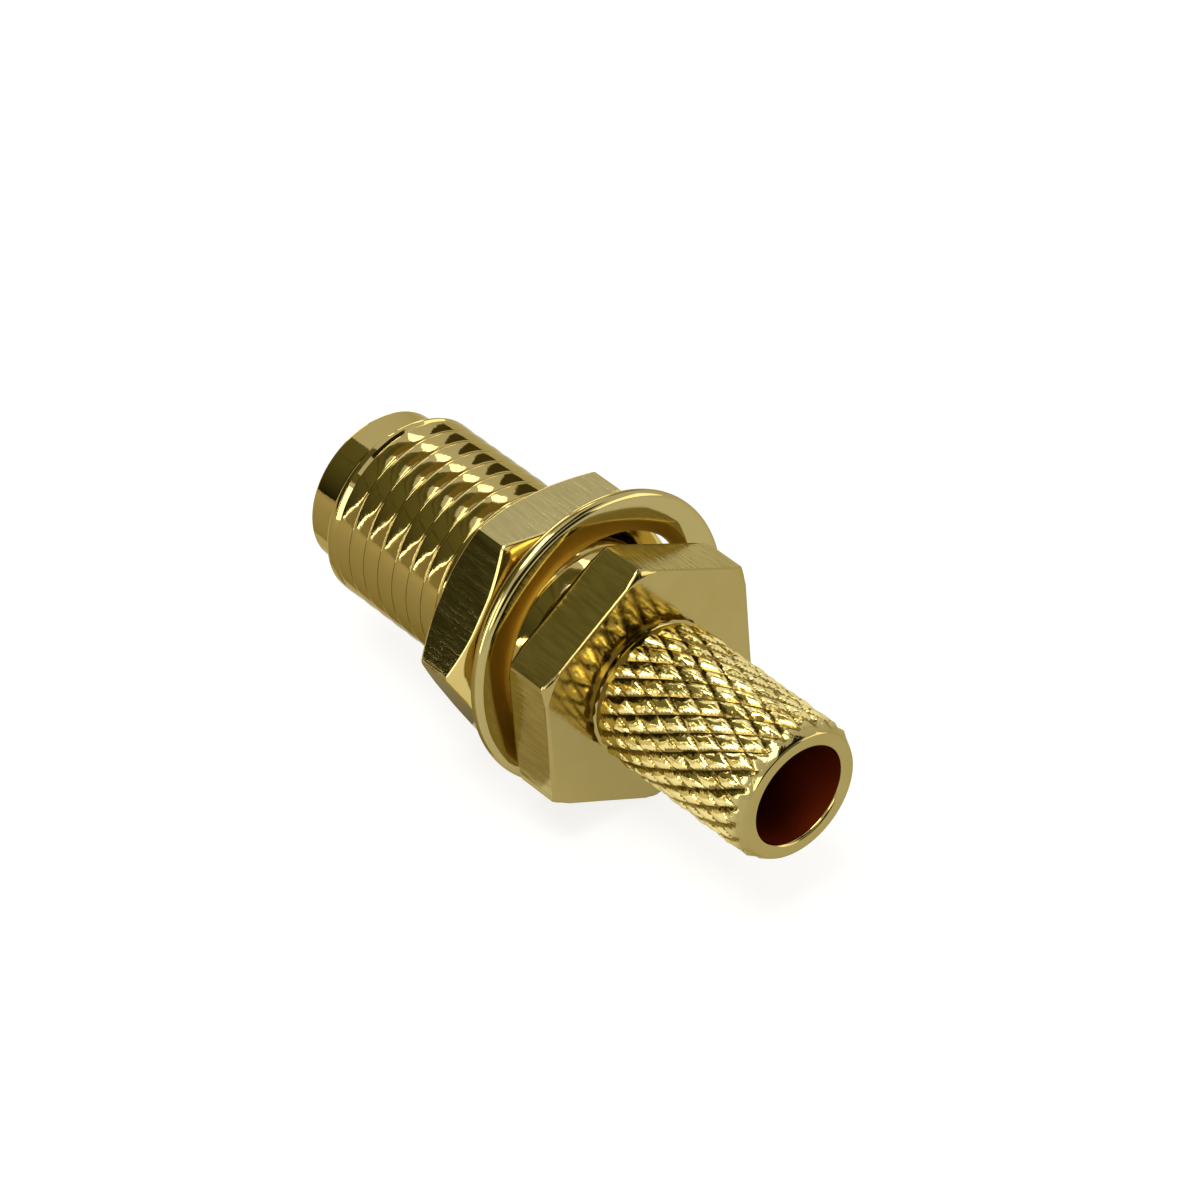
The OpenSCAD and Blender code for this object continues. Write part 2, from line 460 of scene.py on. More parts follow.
# %% [markdown]
# One function makes every plated finish, so that all of them stay one metal. The colour wanders a little
# between a pale and a deep gold, and the lines move the roughness and a faint bump, and streak the
# milled flats.

# %% One function for every plated finish
EDGE_TINT = (0.62, 0.57, 0.42, 1)
CLOUD_GRAIN = 700.0
CLOUD_DETAIL = 4.0
STREAK_SPAN = (0.35, 0.65)
POLISH_SPAN = (0.40, 0.65)
RELIEF_HEIGHT = 0.03


def streaked(nodes, links, colour, fine, strength):
    """Darkens a colour along the lines."""
    shade = map_range(nodes, *STREAK_SPAN)
    streaks = colour_mix(nodes)
    streaks.blend_type = "MULTIPLY"
    streaks.inputs["Factor"].default_value = strength
    links.new(fine, shade.inputs["Value"])
    links.new(colour, streaks.inputs["A"])
    links.new(shade.outputs["Result"], streaks.inputs["B"])
    return streaks.outputs["Result"]


def plated(name, pale, deep, lines, roughness, bump, edge=EDGE_TINT, streak=0.0, grain=LINE_GRAIN):
    """lines is 'turned' for rings around the axis, 'milled' for lines along it or 'worn' for neither."""
    material, nodes, links = new_material(name)
    shader = nodes["Principled BSDF"]
    shader.inputs["Metallic"].default_value = 1.0
    shader.inputs["Specular Tint"].default_value = edge
    place = object_place(nodes)
    axes = split_axes(nodes, links, place)
    if lines == "turned":
        across = ring_vector(nodes, links, axes)
    elif lines == "milled":
        across = line_vector(nodes, links, axes)
    else:
        across = place
    fine = noise(nodes, links, across, grain, LINE_DETAIL)
    cloud = noise(nodes, links, place, CLOUD_GRAIN, CLOUD_DETAIL)
    tint = colour_mix(nodes, deep, pale)
    links.new(cloud, tint.inputs["Factor"])
    colour = tint.outputs["Result"]
    if streak:
        colour = streaked(nodes, links, colour, fine, streak)
    links.new(colour, shader.inputs["Base Color"])
    polish = map_range(nodes, *POLISH_SPAN, to=roughness)
    links.new(fine, polish.inputs["Value"])
    links.new(polish.outputs["Result"], shader.inputs["Roughness"])
    relief = nodes.new("ShaderNodeBump")
    relief.inputs["Strength"].default_value = bump
    relief.inputs["Distance"].default_value = RELIEF_HEIGHT * MM
    links.new(fine, relief.inputs["Height"])
    links.new(relief.outputs["Normal"], shader.inputs["Normal"])
    return material


print("lines on the metal are at most", RELIEF_HEIGHT, "mm high")

# %% [markdown]
# Now the golds themselves, each a pale and a deep tone. Faces that look at each other, such as the
# seat behind the washer, the nut's faces and the sides of the knurl's diamonds, are painted a brighter
# gold: painted light for the light that reaches the eye there after several bounces and loses some at
# each. The roots of the knurl are painted a darker, browner gold, which is painted shade, and the cable
# bore is painted dark and red, which is painted shade inside the hole.

# %% Gold finishes
PALE_GOLD = (0.37, 0.30, 0.113, 1)
DEEP_GOLD = (0.335, 0.258, 0.083, 1)
BARREL_PALE = (0.42, 0.343, 0.148, 1)
BARREL_DEEP = (0.40, 0.305, 0.092, 1)
# painted light: a brighter gold for the knurl's diamonds
KNURL_LIT_PALE = (0.87, 0.74, 0.335, 1)
KNURL_LIT_DEEP = (0.79, 0.64, 0.235, 1)
# painted shade: the darker, browner gold of the knurl's roots
ROOT_SHADE_PALE = (0.26, 0.19, 0.055, 1)
ROOT_SHADE_DEEP = (0.19, 0.135, 0.032, 1)
MILLED_PALE = (0.56, 0.46, 0.20, 1)
MILLED_DEEP = (0.44, 0.36, 0.15, 1)
# painted light: a brighter gold for the seat in the shaded gap behind the washer
SEAT_LIT_PALE = (0.95, 0.73, 0.24, 1)
SEAT_LIT_DEEP = (0.88, 0.65, 0.19, 1)
NUT_MILLED_PALE = (0.435, 0.373, 0.174, 1)
NUT_MILLED_DEEP = (0.40, 0.33, 0.135, 1)
# painted light: a brighter gold for the nut's faces beside the shaded gap
NUT_FACED_LIT_PALE = (0.62, 0.49, 0.18, 1)
NUT_FACED_LIT_DEEP = (0.56, 0.43, 0.14, 1)
WASHER_PALE = (0.41, 0.336, 0.134, 1)
CONTACT_PALE = (0.42, 0.345, 0.164, 1)
# painted shade: the bore is painted dark and red
BORE_SHADE_RED = (0.125, 0.016, 0.003, 1)
BORE_SHADE_DEEP = (0.10, 0.012, 0.002, 1)
BARREL_GRAIN = 2600.0

barrel_gold = plated(
    "barrel_gold", BARREL_PALE, BARREL_DEEP, "worn", (0.04, 0.08), 0.12, grain=BARREL_GRAIN
)
turned_gold = plated("turned_gold", PALE_GOLD, DEEP_GOLD, "turned", (0.06, 0.12), 0.03)
faced_gold = plated("faced_gold", PALE_GOLD, DEEP_GOLD, "worn", (0.10, 0.16), 0.03)
milled_gold = plated("milled_gold", MILLED_PALE, MILLED_DEEP, "milled", (0.06, 0.13), 0.38, streak=0.22)
# painted light on the knurl
knurled_lit_gold = plated("knurled_lit_gold", KNURL_LIT_PALE, KNURL_LIT_DEEP, "worn", (0.05, 0.12), 0.3)
# painted shade in the knurl's roots
root_shade_gold = plated("root_shade_gold", ROOT_SHADE_PALE, ROOT_SHADE_DEEP, "worn", (0.16, 0.26), 0.3)
# painted light on the seat behind the washer
seat_lit_gold = plated("seat_lit_gold", SEAT_LIT_PALE, SEAT_LIT_DEEP, "turned", (0.6, 0.75), 0.2)
# painted shade inside the bore
bore_shade_gold = plated("bore_shade_gold", BORE_SHADE_RED, BORE_SHADE_DEEP, "turned", (0.6, 0.7), 0.02, edge=BORE_SHADE_RED)
nut_milled_gold = plated(
    "nut_milled_gold", NUT_MILLED_PALE, NUT_MILLED_DEEP, "milled", (0.05, 0.10), 0.35, streak=0.12
)
# painted light on the nut's faces
nut_faced_lit_gold = plated("nut_faced_lit_gold", NUT_FACED_LIT_PALE, NUT_FACED_LIT_DEEP, "turned", (0.10, 0.16), 0.03)
washer_gold = plated("washer_gold", WASHER_PALE, PALE_GOLD, "turned", (0.06, 0.12), 0.02)
contact_gold = plated("contact_gold", CONTACT_PALE, PALE_GOLD, "turned", (0.12, 0.2), 0.05)
print("metal finishes", [m.name for m in bpy.data.materials if m.name.endswith("gold")])

# %% [markdown]
# Near the tail's end the knurl runs out on a plain taper, and there the diamonds' brighter gold, which is
# painted light, would look wrong. Two finishes would meet in a hard line, so the knurl's own colour
# changes slowly along the axis instead, from its painted-light gold into the plain one.

# %% Knurl gold that turns plain
PLAIN_FROM_X = body_high.x - 0.85
PLAIN_TO_X = body_high.x - 0.28


def fade_along(material, colour, from_x, to_x):
    """Lets a finish change slowly into another colour along the axis."""
    nodes, links = material.node_tree.nodes, material.node_tree.links
    base = nodes["Principled BSDF"].inputs["Base Color"]
    axes = split_axes(nodes, links, object_place(nodes))
    along = map_range(nodes, from_x * MM, to_x * MM)
    change = colour_mix(nodes, second=colour)
    links.new(axes["X"], along.inputs["Value"])
    links.new(along.outputs["Result"], change.inputs["Factor"])
    links.new(base.links[0].from_socket, change.inputs["A"])
    links.new(change.outputs["Result"], base)


fade_along(knurled_lit_gold, PALE_GOLD, PLAIN_FROM_X, PLAIN_TO_X)
print("the knurl's gold is plain from", round(PLAIN_TO_X, 2), "mm on")

# %% [markdown]
# The body, the nut and the washer are all built the same way. A lathe profile could be spun by a modifier,
# but the hexagons, the thread and the knurl aren't round, so here a piece is a list of rings: each ring
# has the same number of points around the axis, and its place and radius may change with the angle.
# Joining each ring to the next makes tidy quads, and joining the last to the first closes the piece.

# %% Rings and skins
COLUMNS = 264
FULL_TURN = 2 * math.pi


class Skin:
    """Points and faces of a piece under construction, in millimetres."""

    def __init__(self, first_angle):
        self.angles = first_angle + np.arange(COLUMNS) * FULL_TURN / COLUMNS
        self.twist = 0.0
        self.points = []
        self.faces = []
        self.finish = []

    def add_points(self, points):
        start = len(self.points)
        self.points.extend(points)
        return start

    def ring(self, x, radius):
        x = np.broadcast_to(x, COLUMNS)
        radius = np.broadcast_to(radius, COLUMNS)
        angles = self.angles + self.twist
        points = np.stack([x, radius * np.cos(angles), radius * np.sin(angles)], axis=1)
        start = self.add_points([tuple(p) for p in points])
        return np.arange(start, start + COLUMNS)

    def face(self, corners, finish):
        self.faces.append(tuple(int(c) for c in corners))
        self.finish.append(finish)

    def join(self, lower, upper, finish):
        for j in range(COLUMNS):
            k = (j + 1) % COLUMNS
            self.face((lower[j], lower[k], upper[k], upper[j]), finish)

    def stack(self, rings, finish):
        for lower, upper in zip(rings, rings[1:]):
            self.join(lower, upper, finish)

    def to_object(self, name, finishes, sharp_degrees, placing=Matrix.Identity(4)):
        mesh = bpy.data.meshes.new(name)
        mesh.from_pydata([placing @ Vector(p) * MM for p in self.points], [], self.faces)
        for material in finishes:
            mesh.materials.append(material)
        mesh.polygons.foreach_set("material_index", self.finish)
        mesh.shade_smooth()
        mesh.set_sharp_from_angle(angle=math.radians(sharp_degrees))
        mesh.validate()
        piece = bpy.data.objects.new(name, mesh)
        bpy.context.scene.collection.objects.link(piece)
        return piece


print(COLUMNS, "points around each ring")

# %% [markdown]
# The flange and the nut are hexagons whose corners are cut back by a chamfer on each face. A bevel
# modifier would round all their edges alike, but a milled edge is only broken, and the chamfer fades out
# towards the middle of a flat. So the rings themselves give the form: the radius follows the hexagon, the
# chamfer follows the radius, and pairs of close rings hold the edges so that each draws a thin bright line.

# %% Hexagons
HEX_CHAMFER = math.radians(30)
EDGE_HOLD = 0.03
EDGE_BEVEL = 0.05
EDGE_EASE = 0.3
BEVEL_SHARE = 0.4
FRONT_FACE = slice(0, 3)
FRONT_CHAMFER = slice(2, 5)
FLATS = slice(4, 8)
BACK = slice(7, None)


def hexagon_radius(angles, corner_angle, across_flats, corner_round):
    """Distance from the axis to a hexagon with slightly rounded corners, at each angle."""
    half = across_flats / 2
    side = math.radians(60)
    from_flat = np.abs((angles - corner_angle) % side - side / 2)
    tangent = math.atan((half - corner_round) * math.tan(side / 2) / half)
    centre = (half - corner_round) / math.cos(side / 2)
    from_corner = side / 2 - from_flat
    reach = np.maximum(corner_round**2 - (centre * np.sin(from_corner)) ** 2, 0)
    arc = centre * np.cos(from_corner) + np.sqrt(reach)
    return np.where(from_flat > tangent, arc, half / np.cos(from_flat))


def hexagon_rings(skin, from_x, to_x, radius, face_radius, edge_round):
    """Rings over a hexagon's side, from face to face; the slices above pick out its stretches."""
    rim = np.minimum(radius, face_radius)
    chamfer = np.maximum((radius - face_radius) * math.tan(HEX_CHAMFER), 0)
    soft = EDGE_EASE * edge_round
    inset = np.maximum(chamfer, edge_round)
    along, inward = inset - soft, radius - rim + soft
    share = np.minimum(EDGE_BEVEL / np.hypot(along, inward), BEVEL_SHARE)
    return [
        skin.ring(from_x, rim - edge_round - EDGE_HOLD),
        skin.ring(from_x, rim - edge_round),
        skin.ring(from_x + soft, rim - soft),
        skin.ring(from_x + inset - along * share, radius - inward * share),
        skin.ring(from_x + inset + EDGE_BEVEL, radius),
        skin.ring(from_x + inset + EDGE_BEVEL + EDGE_HOLD, radius),
        skin.ring(to_x - inset - EDGE_BEVEL - EDGE_HOLD, radius),
        skin.ring(to_x - inset - EDGE_BEVEL, radius),
        skin.ring(to_x - inset + along * share, radius - inward * share),
        skin.ring(to_x - soft, rim - soft),
        skin.ring(to_x, rim - edge_round),
        skin.ring(to_x, rim - edge_round - EDGE_HOLD),
    ]


print("hexagon edges are broken by", EDGE_BEVEL, "mm")

# %% [markdown]
# The thread is the hardest surface. Rings of points cannot follow it, because a helix never closes on
# itself, so a short profile of one groove and one crest is swept along the helix. First comes that profile.
# The crests are wide and almost flat and the grooves are narrow, as on a jack whose thread was
# cut shallow and then plated. A crest that is slightly crowned makes the zigzag line of light.

# %% Thread profile
THREAD_R = 3.175
THREAD_PITCH = 25.4 / 36
GROOVE_WIDTH = 0.13
GROOVE_DEPTH = 0.08
FLANK_ANGLE = math.radians(12)
GROOVE_LIP = ((-0.004, 0.02), (0.003, 0.004))
CREST_START = 0.012
CREST_SHARES = (0, 0.1, 0.35, 0.65, 0.9, 1)
CREST_SLOPES = (math.radians(1.7), math.radians(8.1))
CREST_SHOULDER = 0.06
SHOULDER_SLOPES = (9.5, 11, 12.5, 14)
SHOULDER_DROP = (0.006, 0.02)


def thread_profile():
    """(place along the axis, depth) over one pitch, from one groove's middle to just before the next."""
    half = GROOVE_WIDTH / 2
    root = half - GROOVE_DEPTH * math.tan(FLANK_ANGLE)
    crest_from = half + CREST_START
    crest = THREAD_PITCH - half - CREST_SHOULDER - crest_from
    left_slope, right_slope = CREST_SLOPES
    points = [(0, GROOVE_DEPTH), (root, GROOVE_DEPTH)]
    points += [(half + along, depth) for along, depth in GROOVE_LIP]
    for share in CREST_SHARES:
        fall = left_slope * share + (right_slope - left_slope) * share**2 / 2
        points.append((crest_from + crest * share, crest * fall))
    at, depth = points[-1]
    step = CREST_SHOULDER / len(SHOULDER_SLOPES)
    for slope in SHOULDER_SLOPES:
        at += step
        depth += step * math.tan(math.radians(slope))
        points.append((at, depth))
    points.append((at + SHOULDER_DROP[0], depth + SHOULDER_DROP[1]))
    points.append((THREAD_PITCH - root, GROOVE_DEPTH))
    return points


print("one pitch of thread has", len(thread_profile()), "points")

# %% [markdown]
# A helix and a ring don't meet by themselves. At the nose a cone trims the first turn, and the last turn
# stops short of the flange. At both ends a skirt joins the helix to a plain ring, so that the body stays
# one closed skin.

# %% Thread ends
NOSE_R = 2.7
CONE_BASE_X = -10.55
CONE_TOP_X = -10.10
THREAD_START_X = CONE_BASE_X + 0.34
THREAD_END_X = -0.25
LEAD_LAYERS = 8


def lead_in(x):
    """Radius that the lead cone allows at x."""
    share = np.clip((x - CONE_BASE_X) / (CONE_TOP_X - CONE_BASE_X), 0, 1)
    return NOSE_R + (THREAD_R - NOSE_R) * share


def lead_skirt(skin, first_ring, index, count, finish):
    """Closes the gap between the nose and the first turn, which climbs by one pitch."""
    rings = [first_ring]
    climb = THREAD_START_X + THREAD_PITCH * np.arange(COLUMNS) / COLUMNS
    for layer in range(1, LEAD_LAYERS):
        x = CONE_BASE_X + (climb - CONE_BASE_X) * layer / LEAD_LAYERS
        rings.append(skin.ring(x, lead_in(x)))
    seam = COLUMNS - 1
    for lower, upper in zip(rings, rings[1:] + [index[0, :COLUMNS]]):
        for j in range(seam):
            skin.face((lower[j], lower[j + 1], upper[j + 1], upper[j]), finish)
    left = [ring[seam] for ring in rings[1:]] + [index[0, seam], index[0, COLUMNS]]
    right = [ring[0] for ring in rings[1:]] + [index[k, 0] for k in range(count)]
    skin.face([first_ring[seam], first_ring[0]] + right + left[::-1], finish)


def end_skirt(skin, index, count, steps, finish):
    """Closes the gap between the last turn and a plain ring before the flange."""
    last = index[count, steps - COLUMNS: steps + 1]
    end_ring = skin.ring(THREAD_END_X, THREAD_R)
    column = [index[k, steps] for k in range(count + 1)]
    skin.face([last[0], last[1], end_ring[1], end_ring[0]] + column[:0:-1], finish)
    for j in range(1, COLUMNS):
        skin.face((last[j], last[j + 1], end_ring[(j + 1) % COLUMNS], end_ring[j]), finish)
    return end_ring


print("thread from", round(THREAD_START_X, 2), "to", THREAD_END_X, "mm")

# %% [markdown]
# Now the profile is swept along the helix, and each turn shares its edge with the next. A screw modifier
# could do that, but it could neither trim the first turn nor let the last one grow shallow, so
# the points are worked out here, one step around the axis at a time.

# %% Thread sweep
THREAD_TURNS = int((THREAD_END_X - THREAD_START_X) / THREAD_PITCH) - 1
RUN_OUT_LEAST = 0.02


def sweep_thread(skin, first_ring, finish):
    """Sweeps the profile from the nose to the flange and returns the ring that ends it."""
    profile = thread_profile()
    count = len(profile)
    steps = THREAD_TURNS * COLUMNS
    step_angle = FULL_TURN / COLUMNS
    index = np.zeros((count + 1, steps + 1), int)
    for m in range(steps + 1):
        angle = skin.angles[0] + m * step_angle
        shift = THREAD_START_X + THREAD_PITCH * m / COLUMNS
        fade = min(1.0, (steps - m) / COLUMNS + RUN_OUT_LEAST)
        rows = []
        for along, depth in profile:
            x = shift + along
            radius = min(THREAD_R - depth * fade, lead_in(x))
            rows.append((x, radius * math.cos(angle), radius * math.sin(angle)))
        start = skin.add_points(rows)
        index[:count, m] = np.arange(start, start + count)
    index[count, : steps + 1 - COLUMNS] = index[0, COLUMNS:]
    rows = []
    for m in range(steps + 1 - COLUMNS, steps + 1):
        angle = skin.angles[0] + m * step_angle
        x = THREAD_START_X + THREAD_PITCH * (m / COLUMNS + 1)
        rows.append((x, THREAD_R * math.cos(angle), THREAD_R * math.sin(angle)))
    start = skin.add_points(rows)
    index[count, steps + 1 - COLUMNS:] = np.arange(start, start + COLUMNS)
    for m in range(steps):
        for k in range(count):
            skin.face((index[k, m], index[k, m + 1], index[k + 1, m + 1], index[k + 1, m]), finish)
    lead_skirt(skin, first_ring, index, count, finish)
    return end_skirt(skin, index, count, steps, finish)


print("the thread has", THREAD_TURNS, "turns")

# %% [markdown]
# The crimp tail is knurled so that the braid of the cable grips it. A knurl is two families of grooves
# that run round the tail in opposite directions and leave rows of diamonds. It could be a bump texture,
# but it shows in the outline, so it is cut in the mesh. A rolled knurl is never quite even: seeded draws
# lower some diamonds and wear their tops, and the grooves run out on the tapered end.

# %% Knurl pattern
TAIL_R = 2.42
TAPER_X = body_high.x - 0.46
TAPER_DEPTH = 0.3
KNURL_STARTS = 22
KNURL_AXIAL_PITCH = 1.36
KNURL_DEPTHS = (0.15, 0.13)
# faces deeper than this get the painted shade of the roots
KNURL_SHADE_DEPTH = 0.105
KNURL_FLATNESS = (1.0, 0.6)
KNURL_FROM_X = 2.156
KNURL_TO_X = body_high.x - 0.10
KNURL_TWIST = math.radians(-2.4)
KNURL_FIRST_TWIST = math.radians(12.5)
KNURL_UNEVEN = 0.05
KNURL_WEAR = 0.02
KNURL_WEAR_LIMIT = 1.5
KNURL_FADE_X = (body_high.x - 0.42, body_high.x - 0.16)
KNURL_CREASES = 3
KNURL_SEED = 7


def tail_radius(x):
    """Radius of the plain tail, which tapers towards its end."""
    return TAIL_R - TAPER_DEPTH * np.clip((x - TAPER_X) / (body_high.x - TAPER_X), 0, 1)


def groove(phase, flatness):
    """0 in the middle of a groove and 1 on the round top between two grooves."""
    return np.abs(np.sin(math.pi * phase)) ** flatness


def worn_tops(draws, rows):
    """A smooth random field with a spread of 1: each value adds up nine draws around its place."""
    field = draws.normal(0, 1, (rows + 3, COLUMNS))
    field = field[:-2] + field[1:-1] + field[2:]
    field = field + np.roll(field, 1, axis=1) + np.roll(field, -1, axis=1)
    return field / 3


print(KNURL_STARTS, "grooves each way around the tail")

# %% [markdown]
# The rings of the knurl are spaced so that both families of grooves run exactly along the diagonals of
# the quads, and each quad is split along a diagonal, so every groove is a clean line. The deepest faces
# are painted a darker, browner gold: painted shade in the roots of the grooves.

# %% Knurl rings and faces
def knurl_rings(skin):
    """Rings over the knurl, twisted a little because the two rollers didn't lean alike."""
    cell = COLUMNS // KNURL_STARTS
    spacing = KNURL_AXIAL_PITCH / cell
    rows = int((KNURL_TO_X - KNURL_FROM_X) / spacing)
    columns = np.arange(COLUMNS)
    draws = np.random.default_rng(KNURL_SEED)
    uneven = draws.uniform(0, KNURL_UNEVEN, (KNURL_STARTS, KNURL_STARTS))
    wear = worn_tops(draws, rows)
    rings, cuts = [], []
    for row in range(rows + 1):
        x = KNURL_FROM_X + row * spacing
        one, other = (columns + row) / cell, (columns - row) / cell
        diamond = uneven[one.astype(int) % KNURL_STARTS, np.floor(other).astype(int) % KNURL_STARTS]
        one, other = groove(one, KNURL_FLATNESS[0]), groove(other, KNURL_FLATNESS[1])
        cut = np.maximum(KNURL_DEPTHS[0] * (1 - one), KNURL_DEPTHS[1] * (1 - other))
        cut = cut + diamond * np.minimum(one, other) + KNURL_WEAR * np.clip(wear[row], 0, KNURL_WEAR_LIMIT)
        fade = np.interp(x, KNURL_FADE_X, (1, 0))
        skin.twist = KNURL_FIRST_TWIST + KNURL_TWIST * (x - KNURL_FROM_X)
        rings.append(skin.ring(x, tail_radius(x) - cut * fade))
        cuts.append(cut * fade)
    return rings, cuts


def knurl_faces(skin, rings, cuts, crest, root):
    """Two triangles for each quad, split along a diagonal; the deep ones take the roots' painted shade."""
    crease = COLUMNS // KNURL_STARTS // KNURL_CREASES
    for row, (lower, upper) in enumerate(zip(rings, rings[1:])):
        for j in range(COLUMNS):
            k = (j + 1) % COLUMNS
            depth = (cuts[row][j] + cuts[row][k] + cuts[row + 1][j] + cuts[row + 1][k]) / 4
            # the deepest faces get the painted shade of the roots
            finish = root if depth > KNURL_SHADE_DEPTH else crest
            if (j + 1 + row) % crease == 0:
                skin.face((lower[j], lower[k], upper[j]), finish)
                skin.face((lower[k], upper[k], upper[j]), finish)
            else:
                skin.face((lower[j], lower[k], upper[k]), finish)
                skin.face((lower[j], upper[k], upper[j]), finish)


print("faces deeper than", KNURL_SHADE_DEPTH, "mm count as roots")

# %% [markdown]
# Now the body itself, from the nose to the end of the tail and back through the stepped bore. On the real
# part this is one piece of brass, so it is one closed mesh here, and each face is given the finish of the
# tool that cut it. First come the rings of its two ends and of its bore. The end of the tail
# is a small rounded rim, which catches a thin line of light.

# %% Ends and bore of the body
NOSE_X = body_low.x
NOSE_EDGE = ((0, 0.12), (0.02, 0.05), (0.08, 0), (0.11, 0))
NOSE_HOLD = 0.06
MOUTH_LIP = 0.1
COUNTERBORE_R = 2.3
COUNTERBORE_END_X = -9.62
SLEEVE_BORE_R = 2.065
SLEEVE_SEAT_X = -4.0
CHAMBER_R = 1.905
CHAMBER_END_X = -0.7
CABLE_BORE_R = 1.68
CABLE_MOUTH = ((0, 0.12), (0, 0.09), (0.02, 0.05), (0.1, 0))
TAIL_END_X = body_high.x
RIM_ROUND = 0.10
RIM_STEPS = 12


def nose_rings(skin):
    """From the lip of the counterbore over the nose to the foot of the lead cone."""
    rings = [skin.ring(NOSE_X + MOUTH_LIP, COUNTERBORE_R), skin.ring(NOSE_X, COUNTERBORE_R + MOUTH_LIP)]
    rings += [skin.ring(NOSE_X + along, NOSE_R - inward) for along, inward in NOSE_EDGE]
    rings += [skin.ring(CONE_BASE_X - NOSE_HOLD, NOSE_R), skin.ring(CONE_BASE_X, NOSE_R)]
    return rings


def tail_end_rings(skin):
    """Round the rim at the tail's end, across its face and into the cable bore."""
    lean = math.atan(TAPER_DEPTH / (TAIL_END_X - TAPER_X))
    edge_x = TAIL_END_X - RIM_ROUND
    edge_r = tail_radius(TAIL_END_X - RIM_ROUND * (1 - math.sin(lean))) - RIM_ROUND * math.cos(lean)
    rings = []
    for turn in np.linspace(lean, math.pi / 2, RIM_STEPS // 2 + 1):
        rings.append(skin.ring(edge_x + RIM_ROUND * math.sin(turn), edge_r + RIM_ROUND * math.cos(turn)))
    rings.append(skin.ring(TAIL_END_X, edge_r - EDGE_HOLD))
    rings += [skin.ring(TAIL_END_X - along, CABLE_BORE_R + out) for along, out in CABLE_MOUTH]
    return rings


def bore_rings(skin):
    """Through the bore, from the cable's end to the foot of the counterbore."""
    return [
        skin.ring(CHAMBER_END_X, CABLE_BORE_R),
        skin.ring(CHAMBER_END_X, CHAMBER_R),
        skin.ring(SLEEVE_SEAT_X, CHAMBER_R),
        skin.ring(SLEEVE_SEAT_X, SLEEVE_BORE_R),
        skin.ring(COUNTERBORE_END_X, SLEEVE_BORE_R),
    ]


print("bore radii", CABLE_BORE_R, CHAMBER_R, SLEEVE_BORE_R, COUNTERBORE_R, "mm")

# %% [markdown]
# The rings are joined in the order of a walk along the surface: nose, thread, flange, neck, knurl, rim
# and bore. Where the finish changes, two neighbouring stacks share a ring, so no gap opens between them.

# %% Connector body
FLANGE_AF = 8.0
FLANGE_T = 1.8
FLANGE_FACE_R = 4.359
FLANGE_CORNER = math.radians(-90 + 5.3)
EDGE_ROUND = 0.07
CORNER_ROUND = 0.12
SEAT_FILLET = 0.08
NECK_R = 2.22
NECK_FILLET = ((0, 0.12), (0, 0.08), (0.06, 0))
NECK_END_X = 2.11
SHARP_DEGREES = 40
# the bore's and the knurl roots' finishes are painted shade; the seat's and the knurl's brighter golds are
# painted light
TURNED, MILLED, BORE_SHADE, SEAT, FACED, KNURLED, BARREL, SHADED_ROOT = range(8)
BODY_FINISHES = [
    turned_gold, milled_gold, bore_shade_gold, seat_lit_gold, faced_gold, knurled_lit_gold, barrel_gold, root_shade_gold
]


def connector_shell():
    skin = Skin(FLANGE_CORNER)
    nose = nose_rings(skin)
    skin.stack(nose, BARREL)
    end = sweep_thread(skin, nose[-1], BARREL)
    hexagon = hexagon_radius(skin.angles, FLANGE_CORNER, FLANGE_AF, CORNER_ROUND)
    flange = hexagon_rings(skin, 0, FLANGE_T, hexagon, FLANGE_FACE_R, EDGE_ROUND)
    seat = [end, skin.ring(-SEAT_FILLET, THREAD_R), skin.ring(0, THREAD_R + SEAT_FILLET)]
    # the seat takes a painted-light gold
    skin.stack(seat + flange[FRONT_FACE], SEAT)
    skin.stack(flange[FRONT_CHAMFER], FACED)
    skin.stack(flange[FLATS], MILLED)
    skin.twist = KNURL_FIRST_TWIST
    neck = [skin.ring(FLANGE_T + along, NECK_R + out) for along, out in NECK_FILLET]
    neck.append(skin.ring(NECK_END_X, NECK_R))
    knurl, cuts = knurl_rings(skin)
    skin.stack(flange[BACK] + neck[:1], FACED)
    skin.stack(neck + knurl[:1], TURNED)
    # the knurl's crests take a painted-light gold, its roots painted shade
    knurl_faces(skin, knurl, cuts, KNURLED, SHADED_ROOT)
    tail_end = tail_end_rings(skin)
    skin.stack(knurl[-1:] + tail_end, TURNED)
    bore = bore_rings(skin)
    # the bore's faces take its painted shade
    skin.stack(tail_end[-1:] + bore, BORE_SHADE)
    counterbore = [bore[-1], skin.ring(COUNTERBORE_END_X, COUNTERBORE_R), nose[0]]
    skin.stack(counterbore, TURNED)
    return skin.to_object("connector_shell", BODY_FINISHES, SHARP_DEGREES)


shell = connector_shell()
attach(shell, "connector")
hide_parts("connector_body")
print("connector shell has", len(shell.data.polygons), "faces")

# %% [markdown]
# The panel nut is a second hexagon, chamfered on both faces, with every edge eased a little so that it
# draws a bright line. Its hole has a thread of its own, a shallow wave along the same helix, which only
# shows at the two mouths.

# %% Panel nut
NUT_AF = 8.0
NUT_CHAMFER = 0.4
NUT_BORE_R = 3.205
NUT_MOUTH = 0.25
NUT_THREAD_DEPTH = 0.14
NUT_THREAD_ROWS = 40
NUT_CORNER = 0.0
NUT_FACED, NUT_MILLED = range(2)
# the nut's faces take a painted-light gold
NUT_FINISHES = [nut_faced_lit_gold, nut_milled_gold]


